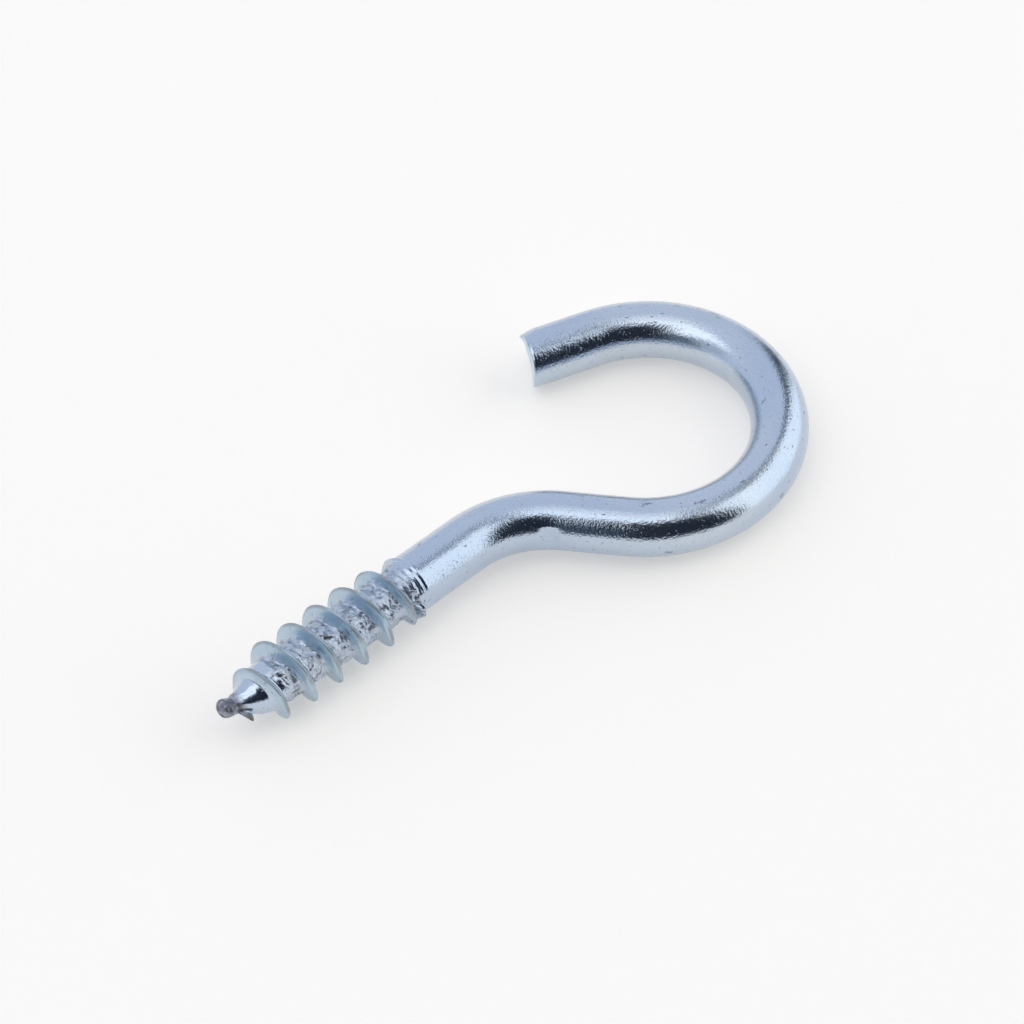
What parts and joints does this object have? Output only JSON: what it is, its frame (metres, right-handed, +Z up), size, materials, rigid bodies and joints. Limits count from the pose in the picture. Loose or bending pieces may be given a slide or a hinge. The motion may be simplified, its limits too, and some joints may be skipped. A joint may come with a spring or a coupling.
{
  "type": "screw hook",
  "caption": "Steel wire screw hook with a coarse rolled wood thread at one end and an open, cup-shaped ring at the other.",
  "frame": {"origin": "on the table, under the middle of the lying hook's bounding box", "axes": "+X along the shank, from the screw tip to the ring; +Y towards the sheared end of the ring; +Z up from the table"},
  "size_m": [0.0508, 0.0238, 0.0056],
  "materials": {
    "zinc_plated_wire": "bright zinc plate"
  },
  "bodies": {
    "root": {"screw_hook": "zinc_plated_wire"}
  },
  "joints": []
}
